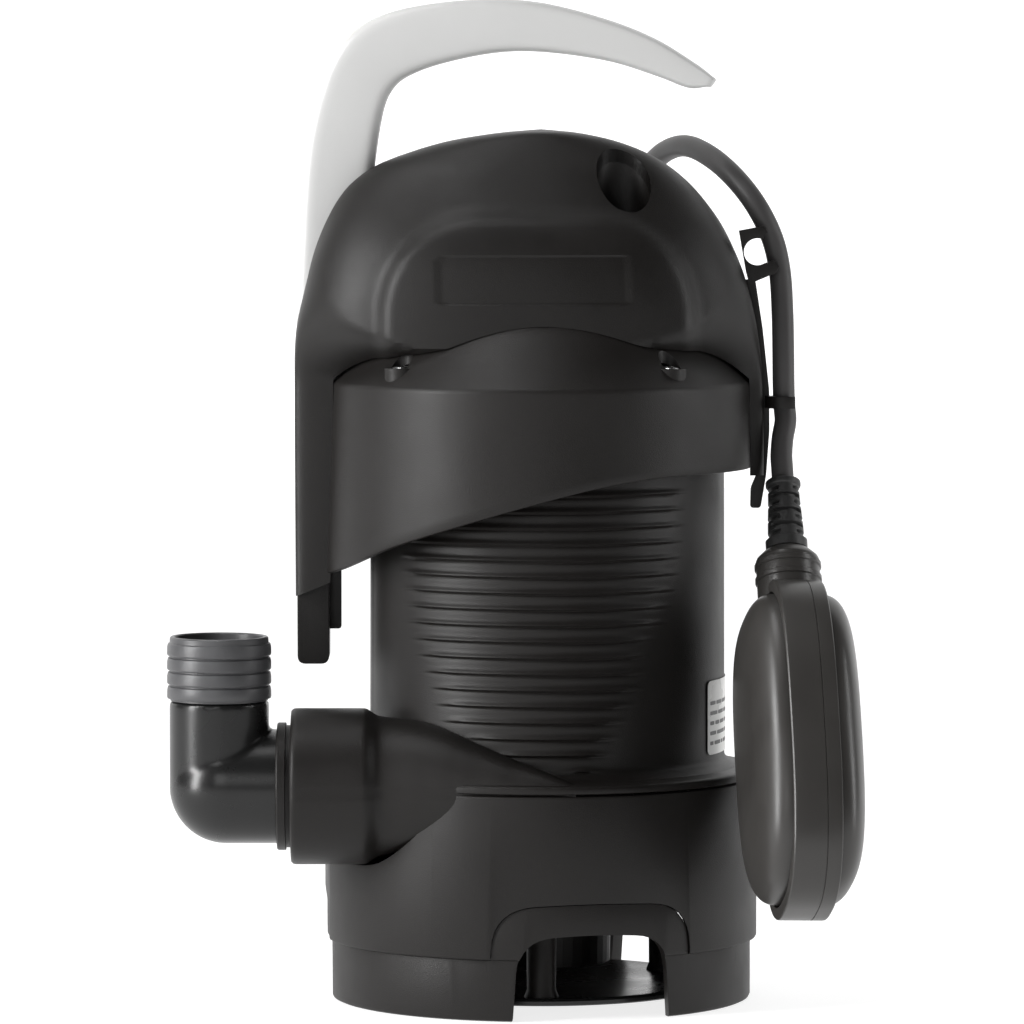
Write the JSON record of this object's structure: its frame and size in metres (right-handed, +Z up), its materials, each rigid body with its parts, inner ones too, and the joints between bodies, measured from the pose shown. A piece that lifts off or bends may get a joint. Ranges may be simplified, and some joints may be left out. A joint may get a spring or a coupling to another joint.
{
  "type": "submersible sump pump",
  "caption": "Submersible sump pump: ribbed motor housing, hooded head with hook handle, side outlet elbow with hose barb, arched foot and a tethered float switch.",
  "frame": {"origin": "on the floor under the middle of the object's box, cord left out", "axes": "+X right, -Y front (the side with the raised panel), +Z up along the motor axis"},
  "size_m": [0.2694, 0.2288, 0.39],
  "materials": {
    "front_cowl": "fine textured black plastic",
    "rear_cowl": "fine textured black plastic",
    "front_band": "fine textured black plastic",
    "carry_handle": "silver grey satin plastic",
    "cable_clip_frame": "black plastic",
    "band_screws": "zinc plated steel",
    "cowl_screw": "zinc plated steel",
    "handle_screw": "zinc plated steel",
    "rating_label": null,
    "motor_housing": "fine textured black plastic",
    "motor_cap": "black plastic",
    "cap_o_ring": "nitrile rubber",
    "pump_housing": "fine textured black plastic",
    "foot_ring": "fine textured black plastic",
    "bottom_plate": "smooth black plastic",
    "volute_plate": "black plastic",
    "impeller": "glass filled plastic",
    "impeller_nut": "stainless steel",
    "outlet_elbow": "glossy black plastic",
    "hose_barb": "grey plastic",
    "stator_core": "laminated electrical steel",
    "end_winding": "enamelled copper wire",
    "rotor_core": "laminated steel with cast cage",
    "motor_shaft": "ground stainless steel",
    "bearing_ring": "ground bearing steel",
    "bearing_cage": "brass cage and steel balls",
    "bearing_carrier": "cast aluminium",
    "seal_plate": "cast aluminium",
    "lip_seal": "nitrile rubber",
    "seal_seat": "ground ceramic",
    "seal_head": "carbon face",
    "seal_spring": "spring steel",
    "capacitor": "white plastic can",
    "capacitor_strap": "black nylon",
    "terminal_block": "white nylon",
    "gland": "black rubbery plastic",
    "float_cable": "grey rubber sheath",
    "float_shell": "satin black plastic",
    "float_boot": "black rubber",
    "microswitch": "black plastic",
    "switch_lever": "spring steel",
    "ball_track": "natural nylon",
    "float_ball": "polished steel"
  },
  "bodies": {
    "root": {"band_screw_1": "band_screws", "band_screw_2": "band_screws", "bearing_carrier": "bearing_carrier", "bottom_plate": "bottom_plate", "cable_clip_frame": "cable_clip_frame", "cap_o_ring": "cap_o_ring", "capacitor": "capacitor", "capacitor_strap": "capacitor_strap", "carry_handle": "carry_handle", "cowl_screw": "cowl_screw", "float_cable_fixed": "float_cable", "float_cable_gland": "gland", "foot_ring": "foot_ring", "front_band": "front_band", "front_cowl": "front_cowl", "handle_screw": "handle_screw", "hose_barb": "hose_barb", "lip_seal": "lip_seal", "lower_bearing_outer": "bearing_ring", "lower_end_winding": "end_winding", "motor_cap": "motor_cap", "motor_housing": "motor_housing", "outlet_elbow": "outlet_elbow", "power_cable_inlet": "gland", "pump_housing": "pump_housing", "rating_label": "rating_label", "rear_cowl": "rear_cowl", "seal_plate": "seal_plate", "seal_seat": "seal_seat", "stator_core": "stator_core", "terminal_block": "terminal_block", "upper_bearing_outer": "bearing_ring", "upper_end_winding": "end_winding", "volute_plate": "volute_plate"},
    "rotor": {"impeller": "impeller", "impeller_nut": "impeller_nut", "motor_shaft": "motor_shaft", "rotor_core": "rotor_core", "lower_bearing_inner": "bearing_ring", "upper_bearing_inner": "bearing_ring", "seal_head": "seal_head", "seal_spring": "seal_spring"},
    "float": {"float_shell_inner": "float_shell", "float_shell_outer": "float_shell", "float_rim_band": "float_shell", "float_neck": "float_shell", "float_boot": "float_boot", "float_cable_swing": "float_cable", "microswitch": "microswitch", "switch_lever": "switch_lever", "ball_track": "ball_track"},
    "lower_cage": {"lower_bearing_cage": "bearing_cage"},
    "upper_cage": {"upper_bearing_cage": "bearing_cage"},
    "ball": {"float_ball": "float_ball"}
  },
  "joints": [
    {"name": "rotor_spin", "type": "hinge", "parent": "root", "child": "rotor", "pos_m": [0.01386, 0.01707, 0.15], "axis": [0, 0, -1], "continuous": true},
    {"name": "lower_cage_spin", "type": "hinge", "parent": "root", "child": "lower_cage", "pos_m": [0.01386, 0.01707, 0.131], "axis": [0, 0, -1], "continuous": true},
    {"name": "upper_cage_spin", "type": "hinge", "parent": "root", "child": "upper_cage", "pos_m": [0.01386, 0.01707, 0.219], "axis": [0, 0, -1], "continuous": true},
    {"name": "float_swing", "type": "hinge", "parent": "root", "child": "float", "pos_m": [0.10476, 0.00207, 0.213], "axis": [0, -1, 0], "range_deg": [0, 90]},
    {"name": "float_ball_roll", "type": "slide", "parent": "float", "child": "ball", "axis": [-0.0393, 0.4372, 0.8985], "range_m": [0, 0.03]}
  ],
  "couplings": [
    {"joint": "lower_cage_spin", "follows": "rotor_spin", "ratio": 0.38},
    {"joint": "upper_cage_spin", "follows": "rotor_spin", "ratio": 0.38}
  ]
}
